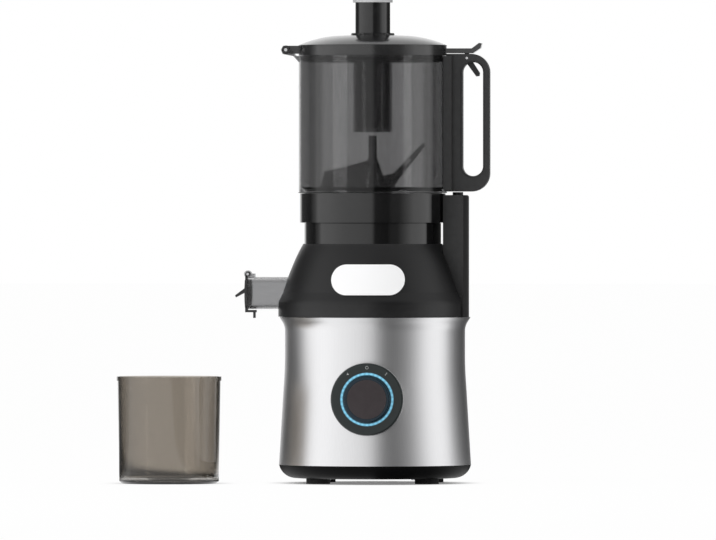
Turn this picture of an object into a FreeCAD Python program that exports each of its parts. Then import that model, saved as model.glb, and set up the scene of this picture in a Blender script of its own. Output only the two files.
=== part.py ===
import FreeCAD, Part
import math
import os
import re
import Sketcher

# Cold press juicer, in millimetres. The origin is on the juicing axis, at the table's surface.
# X is to the right of someone who faces the knob, Y points away from them and Z points up.

Vector = FreeCAD.Vector
doc = FreeCAD.newDocument("juicer")
sheet = doc.addObject("Spreadsheet::Sheet", "Sizes")

# Driving sizes: each has its name and its value.
SIZES = [
    ("base_shift", 2.2),
    ("foot_radius", 11.4), ("foot_spread", 51.5), ("foot_depth", 40),
    ("plinth_low", 5), ("plinth_wall", 3), ("plinth_sole", 76),
    ("shell_low", 17.6), ("shell_high", 157.7), ("shell_foot", 91.2), ("shell_waist", 85.5),
    ("shell_lip", 90.7), ("shell_wall", 2.3), ("waist_low", 112), ("waist_high", 146),
    ("deck_high", 157.9), ("deck_thick", 4), ("deck_radius", 85.6), ("seat_radius", 54), ("seat_high", 162.7),
    ("column_inner", 71), ("column_outer", 91.5), ("column_high", 273.6), ("column_angle", 34),
    ("column_wall", 2.5),
    ("knob_high", 80.8), ("bezel_radius", 34.2), ("bezel_front", 92.5), ("bezel_depth", 15),
    ("ring_outer", 25.4), ("ring_inner", 22.2), ("knob_radius", 21.9), ("knob_front", 97), ("knob_cap_radius", 18.6),
    ("motor_radius", 40), ("motor_low", 24), ("motor_high", 90), ("rotor_radius", 20), ("shaft_radius", 3),
    ("gear_low", 97), ("gear_spacing", 36), ("output_radius", 7), ("hex_radius", 6.5), ("hex_high", 196),
    ("plate_high", 94), ("gearbox_high", 125), ("gearbox_radius", 36.5),
    ("running_gap", 0.05),
    ("skirt_low", 158.2), ("skirt_band", 172), ("skirt_bend", 181.4), ("skirt_mid", 208), ("skirt_high", 227.3),
    ("skirt_radius", 89.7), ("skirt_bend_radius", 85.5), ("skirt_mid_radius", 75.5), ("skirt_neck", 66),
    ("skirt_wall", 2.4),
    ("badge_high", 193.5), ("badge_width", 69.6), ("badge_tall", 29), ("badge_thick", 1.4),
    ("bowl_low", 163), ("bowl_skin", 60), ("bowl_neck", 65), ("bowl_rim", 69.3), ("bowl_step", 246.5),
    ("bowl_high", 275.2), ("bowl_wall", 3),
    ("spout_high", 180.5), ("spout_radius", 15.2), ("spout_bore", 12.8), ("spout_tip", 118.5), ("cap_pin_high", 198.5),
    ("pulp_high", 180), ("pulp_width", 40), ("pulp_tall", 24), ("pulp_reach", 104), ("pulp_wall", 2.5),
    ("auger_low", 164), ("auger_boss", 11), ("auger_reach", 43), ("auger_top", 307),
    ("jar_radius", 70.4), ("jar_wall", 2.4), ("jar_low", 275.5), ("jar_high", 405.7),
    ("handle_reach", 111.4), ("handle_low", 276.9), ("handle_high", 407.6), ("handle_width", 21),
    ("gap_left", 85.8), ("gap_right", 105.4), ("gap_low", 291.6), ("gap_high", 399.6),
    ("trigger_across", 90), ("trigger_high", 403.6),
    ("hinge_across", 82), ("hinge_high", 411.5), ("hinge_pin", 1.5),
    ("lid_low", 406), ("lid_band", 416), ("lid_high", 425.6), ("lid_wall", 2.4),
    ("tube_outer", 18.6), ("tube_bore", 17), ("tube_low", 333.5),
    ("pusher_radius", 16.6), ("pusher_low", 337), ("pusher_high", 456.5), ("pusher_cap_radius", 18.9),
    ("cup_across", 192.2), ("cup_front", 24), ("cup_mouth", 49.8), ("cup_sole", 47.2), ("cup_high", 101.5),
    ("cup_wall", 2.2),
]
for row, (word, value) in enumerate(SIZES, 1):
    sheet.set(f"A{row}", word.replace("_", " "))
    sheet.set(f"B{row}", str(value))
    sheet.setAlias(f"B{row}", word)
doc.recompute()

# Gear teeth: module and counts of the two stages.
FIRST_MODULE = 0.75
SECOND_MODULE = 1.2
MOTOR_TEETH = 14
CLUSTER_TEETH = 82
CLUSTER_PINION_TEETH = 13
OUTPUT_TEETH = 47

PARTS = {}
TURNS = {
    "z": FreeCAD.Rotation(),
    "x": FreeCAD.Rotation(Vector(0, 1, 0), 90),
    "y": FreeCAD.Rotation(Vector(1, 0, 0), -90),
    "-y": FreeCAD.Rotation(Vector(1, 0, 0), 90),
}


def formula(text):
    """A formula in the sheet's words, with the sheet named before each word."""
    return re.sub(r"\b([a-z]+_[a-z_]+)\b", r"Sizes.\1", str(text))


def size(text):
    """The value of a formula, in millimetres."""
    found = sheet.evalExpression(formula(text))
    return float(getattr(found, "Value", found))


def place(piece, base, axis="z"):
    """Stands a piece at a base point, with its own Z turned to the named axis."""
    piece.Placement = FreeCAD.Placement(Vector(*[size(text) for text in base]), TURNS[axis])
    for letter, text in zip("xyz", base):
        piece.setExpression(".Placement.Base." + letter, formula(text))
    return piece


def keep(node, piece):
    """Names a finished sub-part."""
    piece.Label = node
    PARTS[node] = piece
    return piece


def cylinder(label, radius, height, base, axis="z"):
    piece = doc.addObject("Part::Cylinder", label)
    piece.setExpression("Radius", formula(radius))
    piece.setExpression("Height", formula(height))
    return place(piece, base, axis)


def box(label, lengths, corner):
    piece = doc.addObject("Part::Box", label)
    for side, text in zip(("Length", "Width", "Height"), lengths):
        piece.setExpression(side, formula(text))
    return place(piece, corner)


def hexagon(label, radius, height, base):
    piece = doc.addObject("Part::Prism", label)
    piece.Polygon = 6
    piece.setExpression("Circumradius", formula(radius))
    piece.setExpression("Height", formula(height))
    return place(piece, base)


def join(label, *pieces):
    union = doc.addObject("Part::MultiFuse", label)
    union.Shapes = list(pieces)
    return union


def cut(label, base, *tools):
    tool = tools[0] if len(tools) == 1 else join(label + "_cutters", *tools)
    piece = doc.addObject("Part::Cut", label)
    piece.Base = base
    piece.Tool = tool
    return piece


def common(label, *pieces):
    shared = doc.addObject("Part::MultiCommon", label)
    shared.Shapes = list(pieces)
    return shared


def group(label, pieces):
    """Identical pieces in one node, each still its own solid."""
    several = doc.addObject("Part::Compound", label)
    several.Links = list(pieces)
    return several


def ring(label, outer, inner, height, base, axis="z"):
    disc = cylinder(label + "_disc", outer, height, base, axis)
    bore = cylinder(label + "_bore", inner, height, base, axis)
    return cut(label, disc, bore)


def plane_of(body, name):
    return [part for part in body.Origin.OriginFeatures if part.Role == name][0]


def outline(body, plane, label, corners):
    """A closed sketch. A corner is (across, up), and a corner that starts an arc adds the arc's middle."""
    sketch = body.newObject("Sketcher::SketchObject", label)
    sketch.AttachmentSupport = [(plane_of(body, plane), "")]
    sketch.MapMode = "FlatFace"
    points = [Vector(size(corner[0]), size(corner[1]), 0) for corner in corners]
    ends = []
    for index, corner in enumerate(corners):
        start = points[index]
        end = points[(index + 1) % len(points)]
        if len(corner) == 2:
            sketch.addGeometry(Part.LineSegment(start, end), False)
            ends.append((1, 2))
            continue
        middle = Vector(size(corner[2]), size(corner[3]), 0)
        forward = (middle - start).cross(end - middle).z > 0
        arc = Part.Arc(start, middle, end) if forward else Part.Arc(end, middle, start)
        sketch.addGeometry(arc, False)
        sketch.addConstraint(Sketcher.Constraint("Radius", index, arc.toShape().Curve.Radius))
        ends.append((1, 2) if forward else (2, 1))
    for index, corner in enumerate(corners):
        after = (index + 1) % len(corners)
        sketch.addConstraint(Sketcher.Constraint("Coincident", index, ends[index][1], after, ends[after][0]))
        for kind, text, value in (
            ("DistanceX", corner[0], points[index].x),
            ("DistanceY", corner[1], points[index].y),
        ):
            number = sketch.addConstraint(Sketcher.Constraint(kind, -1, 1, index, ends[index][0], value))
            sketch.setExpression(f"Constraints[{number}]", formula(text))
    return sketch


def turned(label, corners, shifted=False):
    """A body turned about its own Z axis from a half section of (radius, height) corners."""
    body = doc.addObject("PartDesign::Body", label)
    if shifted:
        place(body, ("base_shift", 0, 0))
    section = outline(body, "XZ_Plane", label + "_section", corners)
    turn = body.newObject("PartDesign::Revolution", label + "_turn")
    turn.Profile = section
    turn.ReferenceAxis = (section, ["V_Axis"])
    turn.Angle = 360
    doc.recompute()
    return body


def sector(body, label, corners, angle, kind="PartDesign::Revolution"):
    """Adds or cuts part of a turn, spread evenly to both sides of the XZ plane."""
    section = outline(body, "XZ_Plane", label + "_section", corners)
    turn = body.newObject(kind, label)
    turn.Profile = section
    turn.ReferenceAxis = (section, ["V_Axis"])
    turn.Midplane = True
    turn.setExpression("Angle", formula(angle))
    doc.recompute()
    return turn


def slab(body, label, corners, width, plane="XZ_Plane", kind="PartDesign::Pad"):
    """Adds or cuts a flat outline with its width spread evenly to both sides of a plane."""
    sketch = outline(body, plane, label + "_outline", corners)
    pad = body.newObject(kind, label)
    pad.Profile = sketch
    pad.SideType = "Symmetric"
    pad.setExpression("Length", formula(width))
    doc.recompute()
    return pad


def rounded(body, label, radius, chosen):
    """Rounds the edges of a body's last feature that a test picks."""
    base = body.Tip
    names = [f"Edge{number}" for number, edge in enumerate(base.Shape.Edges, 1) if chosen(edge)]
    fillet = body.newObject("PartDesign::Fillet", label)
    fillet.Base = (base, names)
    fillet.Radius = radius
    body.Tip = fillet
    doc.recompute()
    return fillet


def rims(*places):
    """Picks round edges by (radius, height)."""
    def chosen(edge):
        if not hasattr(edge.Curve, "Radius"):
            return False
        middle = edge.BoundBox.Center.z
        return any(
            abs(edge.Curve.Radius - size(radius)) < 0.05 and abs(middle - size(height)) < 0.05
            for radius, height in places
        )
    return chosen


def straight_edges(letter, *places):
    """Picks straight edges along one axis, by their two coordinates across it."""
    others = [name for name in "xyz" if name != letter]

    def chosen(edge):
        if len(edge.Vertexes) != 2 or not isinstance(edge.Curve, Part.Line):
            return False
        start, end = [vertex.Point for vertex in edge.Vertexes]
        for place_found in places:
            target = [size(text) for text in place_found]
            if all(
                abs(getattr(point, name) - value) < 0.05
                for point in (start, end)
                for name, value in zip(others, target)
            ):
                return True
        return False
    return chosen


def gear_face(module, teeth, first_tooth_angle):
    """A gear's flat face, with involute flanks that are thinned for backlash."""
    pitch_radius = module * teeth / 2
    base_radius = pitch_radius * math.cos(math.radians(20))
    tip_radius = pitch_radius + 0.85 * module
    root_radius = pitch_radius - 1.2 * module
    half_tooth = math.pi / (2 * teeth) - 0.09 * module / pitch_radius

    def involute(radius):
        if radius <= base_radius:
            return 0.0
        pressure = math.acos(base_radius / radius)
        return math.tan(pressure) - pressure

    flank_start = max(base_radius, root_radius + 0.1 * module)
    radii = [flank_start + (tip_radius - flank_start) * step / 4 for step in range(5)]
    corners = []
    for tooth in range(teeth):
        centre = first_tooth_angle + 2 * math.pi * tooth / teeth
        spread = [half_tooth + involute(pitch_radius) - involute(radius) for radius in radii]
        flank = [(root_radius, spread[0])] + list(zip(radii, spread))
        for radius, angle in flank:
            corners.append(Vector(radius * math.cos(centre - angle), radius * math.sin(centre - angle), 0))
        for radius, angle in reversed(flank):
            corners.append(Vector(radius * math.cos(centre + angle), radius * math.sin(centre + angle), 0))
    return Part.Face(Part.makePolygon(corners + [corners[0]]))


def gear(label, bore, wheels):
    """Gear wheels round one bore, each (module, teeth, first tooth's angle, low, high), as one shape."""
    solid = None
    for module, teeth, angle, low, high in wheels:
        wheel = gear_face(module, teeth, angle).extrude(Vector(0, 0, high - low))
        wheel.translate(Vector(0, 0, low))
        wheel = wheel.cut(Part.makeCylinder(bore, high - low, Vector(0, 0, low)))
        solid = wheel if solid is None else solid.fuse(wheel)
    piece = doc.addObject("Part::Feature", label)
    piece.Shape = solid
    return piece


# Plinth, feet and screws
def make_plinth():
    tray = turned("plinth_tray", [
        (0, "plinth_low"), ("plinth_sole", "plinth_low", "shell_foot - 4.4", "plinth_low + 4.6"),
        ("shell_foot", "shell_low"), ("shell_foot - plinth_wall", "shell_low"),
        ("plinth_sole", "plinth_low + plinth_wall"), (0, "plinth_low + plinth_wall"),
    ], shifted=True)
    holes = []
    for number, (across, back) in enumerate(POST_PLACES):
        holes.append(cylinder(f"plinth_hole_{number}", 1.8, 12, (across, back, 0)))
    slots = [
        box(f"plinth_slot_{number}", (36, 3, 12), ("base_shift - 18", -12 + 8 * number, 0))
        for number in range(4)
    ]
    keep("plinth", cut("plinth", tray, *holes, *slots))


POST_PLACES = ((42, -26), (-42, -26), (30, 58), (-30, 58))


def make_feet():
    feet = []
    for number, (right, back) in enumerate(((1, -1), (-1, -1), (1, 1), (-1, 1))):
        feet.append(cylinder(
            f"foot_{number}", "foot_radius", "plinth_low",
            (f"base_shift + {right} * foot_spread", f"{back} * foot_depth", 0),
        ))
    keep("rubber_feet", group("rubber_feet", feet))


def make_screws():
    screws = []
    for number, (across, back) in enumerate(POST_PLACES):
        shank = cylinder(f"screw_shank_{number}", 1.8, 16, (across, back, "plinth_low"))
        head = cylinder(f"screw_head_{number}", 3.8, 1.6, (across, back, "plinth_low - 1.6"))
        screws.append(join(f"screw_{number}", shank, head))
    keep("base_screws", group("base_screws", screws))


def make_posts():
    posts = []
    for number, (across, back) in enumerate(POST_PLACES):
        post = cylinder(f"post_rod_{number}", 5, "motor_high - plinth_low - plinth_wall",
                        (across, back, "plinth_low + plinth_wall"))
        hole = cylinder(f"post_hole_{number}", 1.8, 16, (across, back, "plinth_low"))
        posts.append(cut(f"post_{number}", post, hole))
    keep("support_posts", group("support_posts", posts))


# Silver shell, top deck and column
def make_shell():
    skin = turned("shell_skin", [
        ("shell_foot", "shell_low"),
        ("shell_waist + 1.25", "waist_low - 20", "shell_waist + 0.32", "waist_low - 5"),
        ("shell_waist", "waist_low + 10"),
        ("shell_waist", "waist_high - 2", "shell_waist + 0.9", "waist_high + 4"),
        ("shell_lip - 2", "shell_high - 3.4"), ("shell_lip", "shell_high"),
        ("shell_lip - shell_wall", "shell_high"), ("shell_lip - 2 - shell_wall", "shell_high - 2.8"),
        ("shell_waist - shell_wall", "waist_high - 1.4"), ("shell_waist - shell_wall", "waist_low"),
        ("shell_foot - shell_wall", "shell_low"),
    ], shifted=True)
    front_hole = cylinder("shell_knob_hole", "bezel_radius", 40, (0, -60, "knob_high"), "-y")
    lead_hole = cylinder("shell_lead_hole", 7.8, 30, ("base_shift", 75, 32), "y")
    keep("silver_shell", cut("silver_shell", skin, front_hole, lead_hole))


def make_deck():
    disc = cylinder("deck_disc", "deck_radius", "deck_thick", ("base_shift", 0, "deck_high - deck_thick"))
    seat = ring("deck_seat", "seat_radius", "seat_radius - 4", "seat_high - deck_high", (0, 0, "deck_high"))
    bore = cylinder("deck_bore", 17, 20, (0, 0, "deck_high - 10"))
    keep("top_deck", cut("top_deck", join("deck_and_seat", disc, seat), bore))
    keep("deck_seal", ring("deck_seal", 17, "output_radius + running_gap", "deck_thick",
                           (0, 0, "deck_high - deck_thick")))


def make_column():
    body = doc.addObject("PartDesign::Body", "column_shell")
    sector(body, "column_solid", [
        ("column_inner", "deck_high"), ("column_outer", "deck_high"),
        ("column_outer", "column_high"), ("column_inner", "column_high"),
    ], "column_angle")
    rounded(body, "column_soft_top", 2, rims(("column_outer", "column_high")))
    sector(body, "column_hollow", [
        ("column_inner + column_wall", "deck_high - 1"), ("column_outer - column_wall", "deck_high - 1"),
        ("column_outer - column_wall", "column_high - column_wall"),
        ("column_inner + column_wall", "column_high - column_wall"),
    ], "column_angle - 4", "PartDesign::Groove")
    hole = cylinder("column_hole", 5.3, 20, (81, 0, "column_high - 10"))
    keep("column_cover", cut("column_cover", body, hole))
    stem = cylinder("plunger_stem", 5, 14.4, (81, 0, "column_high - 11.6"))
    collar = cylinder("plunger_collar", 6.5, 2, (81, 0, "column_high - 11.6"))
    keep("interlock_plunger", join("interlock_plunger", stem, collar))
    keep("interlock_switch", box("interlock_switch", (9, 18, 16), (74.5, -9, "column_high - 32")))


# Knob, light ring and the boards behind them
def make_knob():
    back = "bezel_depth - bezel_front"
    drum = cylinder("bezel_drum", "bezel_radius", "bezel_depth", (0, back, "knob_high"), "-y")
    well = cylinder("bezel_well", "ring_outer", "bezel_depth", (0, "bezel_depth - bezel_front - 3", "knob_high"), "-y")
    bore = cylinder("bezel_bore", 5, 10, (0, "bezel_depth - bezel_front + 3", "knob_high"), "-y")
    bezel = cut("bezel_ring", drum, well, bore)
    doc.recompute()
    soft = doc.addObject("Part::Fillet", "bezel")
    soft.Base = bezel
    front = -size("bezel_front")
    soft.Edges = [
        (number, 1.6, 1.6) for number, edge in enumerate(bezel.Shape.Edges, 1)
        if hasattr(edge.Curve, "Radius") and edge.Curve.Radius > 34 and abs(edge.CenterOfMass.y - front) < 0.1
    ]
    keep("bezel", soft)
    keep("light_board", ring("light_board", "ring_outer - 0.2", 8, 1.6,
                             (0, "bezel_depth - bezel_front - 3", "knob_high"), "-y"))
    keep("light_ring", ring("light_ring", "ring_outer", "ring_inner", 9.6,
                            (0, "bezel_depth - bezel_front - 4.8", "knob_high"), "-y"))
    disc = cylinder("knob_disc", "knob_radius", 13, (0, "13 - knob_front", "knob_high"), "-y")
    stem = cylinder("knob_stem", "shaft_radius", 24, (0, "34 - knob_front", "knob_high"), "-y")
    recess = cylinder("knob_recess", "knob_cap_radius", 1, (0, "1 - knob_front", "knob_high"), "-y")
    knob = cut("knob_turning", join("knob_and_stem", disc, stem), recess)
    doc.recompute()
    soft_knob = doc.addObject("Part::Fillet", "control_knob")
    soft_knob.Base = knob
    front = -size("knob_front")
    soft_knob.Edges = [
        (number, 1.4, 1.4) for number, edge in enumerate(knob.Shape.Edges, 1)
        if hasattr(edge.Curve, "Radius") and edge.Curve.Radius > 21 and abs(edge.CenterOfMass.y - front) < 0.1
    ]
    keep("control_knob", soft_knob)
    keep("knob_cap", cylinder("knob_cap", "knob_cap_radius - 0.1", 1.4, (0, "1 - knob_front", "knob_high"), "-y"))


def make_boards():
    body = box("switch_body", (18, 13, 18), (-9, -75, "knob_high - 9"))
    bore = cylinder("switch_bore", "shaft_radius + running_gap", 20, (0, -60, "knob_high"), "-y")
    keep("knob_switch", cut("knob_switch", body, bore))
    keep("control_board", box("control_board", (64, 1.6, 44), (-32, -62, "knob_high - 36")))
    keep("board_carrier", box("board_carrier", (112, 2.4, 50), (-54, -60.4, "knob_high - 40")))
    gland = cylinder("gland_body", 7.8, 15, ("base_shift", 80, 32), "y")
    gland_bore = cylinder("gland_bore", 3.6, 15, ("base_shift", 80, 32), "y")
    keep("cord_gland", cut("cord_gland", gland, gland_bore))


# Motor
def make_motor():
    keep("motor_can", turned("motor_can", [
        (5, "motor_low"), ("motor_radius", "motor_low"), ("motor_radius", "motor_high"),
        ("motor_radius - 2", "motor_high"), ("motor_radius - 2", "motor_low + 2.5"), (5, "motor_low + 2.5"),
    ]))
    keep("stator_core", ring("stator_core", "motor_radius - 2", "rotor_radius + 0.6", 42, (0, 0, "motor_low + 14")))
    windings = [
        ring(f"winding_{number}", "motor_radius - 5", "rotor_radius + 3", 5, (0, 0, f"motor_low + {height}"))
        for number, height in enumerate((9, 56))
    ]
    keep("stator_windings", group("stator_windings", windings))
    keep("lower_bearing", ring("lower_bearing", 9, "shaft_radius + running_gap", 6, (0, 0, "motor_low + 2.5")))
    keep("upper_bearing", ring("upper_bearing", 9, "shaft_radius + running_gap", 4, (0, 0, "motor_high")))
    core = cylinder("rotor_core", "rotor_radius", 42, (0, 0, "motor_low + 14"))
    shaft = cylinder("rotor_shaft", "shaft_radius", "gear_low + 8 - 11", (0, 0, 11))
    keep("rotor", join("rotor", core, shaft))
    make_fan()


def make_fan():
    body = doc.addObject("PartDesign::Body", "cooling_fan")
    hub = outline(body, "XZ_Plane", "fan_hub_section", [
        ("shaft_radius", 11), (8, 11), (8, 21), ("shaft_radius", 21),
    ])
    turn = body.newObject("PartDesign::Revolution", "fan_hub")
    turn.Profile = hub
    turn.ReferenceAxis = (hub, ["V_Axis"])
    turn.Angle = 360
    doc.recompute()
    blade = slab(body, "fan_blade", [(7, 12), (33, 12), (33, 20), (7, 20)], 1.6)
    pattern = body.newObject("PartDesign::PolarPattern", "fan_blades")
    pattern.Originals = [blade]
    pattern.Axis = (blade.Profile[0], ["V_Axis"])
    pattern.Angle = 360
    pattern.Occurrences = 9
    body.Tip = pattern
    doc.recompute()
    keep("cooling_fan", body)


# Gearbox
def make_gearbox():
    disc = cylinder("gearbox_disc", 62, "plate_high - motor_high", (0, 12, "motor_high"))
    bearing_seat = cylinder("bearing_seat", 9, 10, (0, 0, "motor_high - 3"))
    axle_hole = cylinder("axle_hole", 4, 10, (0, "gear_spacing", "motor_high + 2"))
    keep("gearbox_floor", cut("gearbox_floor", disc, bearing_seat, axle_hole))
    keep("cluster_axle", cylinder("cluster_axle", 4, "gearbox_high - 2 - motor_high - 2",
                                  (0, "gear_spacing", "motor_high + 2")))
    housing = join("gearbox_outside", *capsule("gearbox_outer", "gearbox_radius", "plate_high", "gearbox_high"),
                   cylinder("gearbox_neck", 16, 24, (0, 0, "gearbox_high - 1")))
    hollow = join("gearbox_inside", *capsule("gearbox_inner", "gearbox_radius - 3", "plate_high - 1",
                                            "gearbox_high - 4"),
                  cylinder("neck_bore", 13, 40, (0, 0, "gearbox_high - 10")),
                  cylinder("axle_top_hole", 4, 4, (0, "gear_spacing", "gearbox_high - 6")))
    keep("gearbox_cover", cut("gearbox_cover", housing, hollow))
    bearings = [
        ring(f"output_bearing_{number}", 13, "output_radius + running_gap", 7, (0, 0, f"gearbox_high + {height}"))
        for number, height in enumerate((0, 15))
    ]
    keep("output_bearings", group("output_bearings", bearings))


def capsule(label, radius, low, high):
    """Two round ends and the block between them, from the motor's axis to the cluster's axle."""
    height = f"({high}) - ({low})"
    near = cylinder(label + "_near", radius, height, (0, 0, low))
    far = cylinder(label + "_far", radius, height, (0, "gear_spacing", low))
    between = box(label + "_between", (f"2 * ({radius})", "gear_spacing", height), (f"-({radius})", 0, low))
    return [near, far, between]


def make_gears():
    spacing = size("gear_spacing")
    low = size("gear_low")
    shaft = size("shaft_radius")
    towards_cluster = math.pi / 2
    keep("motor_pinion", gear("motor_pinion", shaft, [
        (FIRST_MODULE, MOTOR_TEETH, towards_cluster, low, low + 8),
    ]))
    cluster = gear("gear_cluster", 4 + size("running_gap"), [
        (FIRST_MODULE, CLUSTER_TEETH, -towards_cluster + math.pi / CLUSTER_TEETH, low, low + 7),
        (SECOND_MODULE, CLUSTER_PINION_TEETH, -towards_cluster, low + 7, low + 21),
    ])
    cluster.Placement = FreeCAD.Placement(Vector(0, spacing, 0), FreeCAD.Rotation())
    keep("gear_cluster", cluster)
    keep("output_gear", gear("output_gear", size("output_radius"), [
        (SECOND_MODULE, OUTPUT_TEETH, towards_cluster + math.pi / OUTPUT_TEETH, low + 10, low + 20),
    ]))
    round_part = cylinder("output_round", "output_radius", "deck_high + 2 - gear_low - 10", (0, 0, "gear_low + 10"))
    hex_part = hexagon("output_hex", "hex_radius", "hex_high - deck_high - 1", (0, 0, "deck_high + 1"))
    keep("output_shaft", join("output_shaft", round_part, hex_part))


# Bowl, skirt, badge and outlets
def make_bowl():
    drum = turned("bowl_drum", [
        (14, "bowl_low"), ("bowl_skin", "bowl_low"), ("bowl_skin", "skirt_high - 12"),
        ("skirt_neck - 3", "skirt_high - 6"), ("skirt_neck - 3", "skirt_high"), ("bowl_neck", "skirt_high"),
        ("bowl_neck", "bowl_step"), ("bowl_rim", "bowl_step + 1"), ("bowl_rim", "bowl_high"),
        ("bowl_rim - bowl_wall", "bowl_high"), ("bowl_rim - bowl_wall", "bowl_step + 3"),
        ("bowl_neck - bowl_wall", "bowl_step + 3"), ("bowl_neck - bowl_wall", "skirt_high + 4"),
        ("bowl_skin", "skirt_high"), ("bowl_skin - bowl_wall", "skirt_high - 10"),
        ("bowl_skin - bowl_wall", "bowl_low + bowl_wall"), (14, "bowl_low + bowl_wall"),
    ])
    juice_hole = cylinder("bowl_juice_hole", "spout_bore", 40, (-75, 0, "spout_high"), "x")
    pulp_hole = box("bowl_pulp_hole", ("pulp_width - 2 * pulp_wall", 40, "pulp_tall - 2 * pulp_wall"),
                    ("pulp_wall - pulp_width / 2", 40, "pulp_high - pulp_tall / 2 + pulp_wall"))
    keep("juicing_bowl", cut("juicing_bowl", drum, juice_hole, pulp_hole))
    keep("auger_bush", ring("auger_bush", 14, "auger_boss + running_gap", 6.5, (0, 0, "bowl_low - 0.2")))


def skirt_section(grow=0):
    """The skirt's outer line, moved out by grow, from the bottom to the top."""
    return [
        (f"skirt_radius + {grow}", "skirt_low"),
        (f"skirt_radius + {grow}", "skirt_band - 2", f"skirt_radius + {grow} - 0.25", "skirt_band + 0.8"),
        (f"skirt_radius + {grow} - 0.9", "skirt_band + 2.4"),
        (f"skirt_bend_radius + {grow}", "skirt_bend",
         f"(skirt_bend_radius + skirt_mid_radius) / 2 + {grow} + 0.3", "(skirt_bend + skirt_mid) / 2"),
        (f"skirt_mid_radius + {grow}", "skirt_mid",
         f"(skirt_mid_radius + skirt_neck) / 2 + {grow} + 0.4", "(skirt_mid + skirt_high) / 2"),
        (f"skirt_neck + {grow}", "skirt_high"),
    ]


def make_skirt():
    cone = turned("skirt_cone", skirt_section() + [
        ("skirt_neck - 3", "skirt_high"), ("skirt_neck - 3", "skirt_high - 2.4"),
        ("skirt_mid_radius - skirt_wall", "skirt_mid"), ("skirt_bend_radius - skirt_wall", "skirt_bend"),
        ("skirt_radius - skirt_wall", "skirt_band"), ("skirt_radius - skirt_wall", "skirt_low"),
    ])
    sector(cone, "skirt_notch", [
        ("column_inner - 0.8", "skirt_low - 5"), ("column_outer + 5", "skirt_low - 5"),
        ("column_outer + 5", "skirt_high - 3"), ("column_inner - 0.8", "skirt_high - 3"),
    ], "column_angle + 1.4", "PartDesign::Groove")
    juice_hole = cylinder("skirt_juice_hole", "spout_radius", 60, (-110, 0, "spout_high"), "x")
    pulp_hole = box("skirt_pulp_hole", ("pulp_width", 60, "pulp_tall"),
                    ("-pulp_width / 2", 60, "pulp_high - pulp_tall / 2"))
    keep("skirt", cut("skirt", cone, juice_hole, pulp_hole))
    grown = turned("badge_skin", skirt_section("badge_thick") + [(20, "skirt_high"), (20, "skirt_low")])
    core = turned("badge_core", skirt_section() + [(19, "skirt_high"), (19, "skirt_low")])
    ends = [
        cylinder(f"badge_end_{number}", "badge_tall / 2", 70,
                 (f"{side} * (badge_width - badge_tall) / 2", -40, "badge_high"), "-y")
        for number, side in enumerate((-1, 1))
    ]
    middle = box("badge_middle", ("badge_width - badge_tall", 70, "badge_tall"),
                 ("(badge_tall - badge_width) / 2", -110, "badge_high - badge_tall / 2"))
    pill = join("badge_pill", *ends, middle)
    keep("badge_plate", common("badge_plate", cut("badge_band", grown, core), pill))


def make_spout():
    tube = cylinder("spout_tube", "spout_radius", "spout_tip - 45", ("-spout_tip", 0, "spout_high"), "x")
    ears = []
    for number, side in enumerate((-1, 1)):
        root = box(f"spout_ear_root_{number}", (6.4, 3, 10), (-118.4, 6.5 * side - 1.5, 189))
        tip = cylinder(f"spout_ear_tip_{number}", 3.4, 3, (-118.6, 6.5 * side - 1.5, "cap_pin_high"), "y")
        ears += [root, tip]
    bore = cylinder("spout_inside", "spout_bore", "spout_tip", ("-spout_tip - 5", 0, "spout_high"), "x")
    bowl_space = cylinder("spout_bowl_space", "bowl_skin", 60, (0, 0, "spout_high - 30"))
    pin_hole = cylinder("spout_pin_hole", 1.2, 30, (-118.6, -15, "cap_pin_high"), "y")
    keep("juice_spout", cut("juice_spout", join("spout_and_ears", tube, *ears), bore, bowl_space, pin_hole))
    keep("cap_hinge_pin", cylinder("cap_hinge_pin", 1.2, 16, (-118.6, -8, "cap_pin_high"), "y"))


def make_drip_cap():
    disc = cylinder("cap_disc", "spout_radius", 2.4, ("-spout_tip - 2.7", 0, "spout_high"), "x")
    trim = box("cap_trim", (10, 60, 20), ("-spout_tip - 6", -30, 193))
    arm = box("cap_arm", (2.4, 9.2, 8), ("-spout_tip - 2.7", -4.6, 191))
    knuckle = cylinder("cap_knuckle", 2.4, 9.2, (-118.6, -4.6, "cap_pin_high"), "y")
    body = doc.addObject("PartDesign::Body", "cap_tab")
    slab(body, "cap_tab_pad", [
        ("-spout_tip - 2", 181.5), ("-spout_tip - 11.5", 176.4), ("-spout_tip - 12.2", 178.4),
        ("-spout_tip - 2.6", 185.5),
    ], 12)
    catch = box("cap_catch", (10.5, 10, 2.2), ("-spout_tip - 2.7", -5, 162.2))
    catch_root = box("cap_catch_root", (2.4, 10, 6), ("-spout_tip - 2.7", -5, 162.2))
    spike = box("cap_spike", (2, 8, 5.6), (-113.6, -4, 156.8))
    bore = cylinder("cap_bore", "1.2 + running_gap", 30, (-118.6, -15, "cap_pin_high"), "y")
    whole = join("cap_whole", cut("cap_disc_trimmed", disc, trim), arm, knuckle, body, catch, catch_root, spike)
    keep("drip_cap", cut("drip_cap", whole, bore))
    keep("drip_plug", cylinder("drip_plug", 12, 3.5, ("-spout_tip - 0.3", 0, "spout_high"), "x"))


def make_pulp_spout():
    length = "pulp_reach - 45"
    outside = box("pulp_outside", ("pulp_width", length, "pulp_tall"),
                  ("-pulp_width / 2", 45, "pulp_high - pulp_tall / 2"))
    inside = box("pulp_inside", ("pulp_width - 2 * pulp_wall", "pulp_reach", "pulp_tall - 2 * pulp_wall"),
                 ("pulp_wall - pulp_width / 2", 40, "pulp_high - pulp_tall / 2 + pulp_wall"))
    bowl_space = cylinder("pulp_bowl_space", "bowl_skin", 60, (0, 0, "pulp_high - 30"))
    keep("pulp_spout", cut("pulp_spout", outside, inside, bowl_space))


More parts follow.
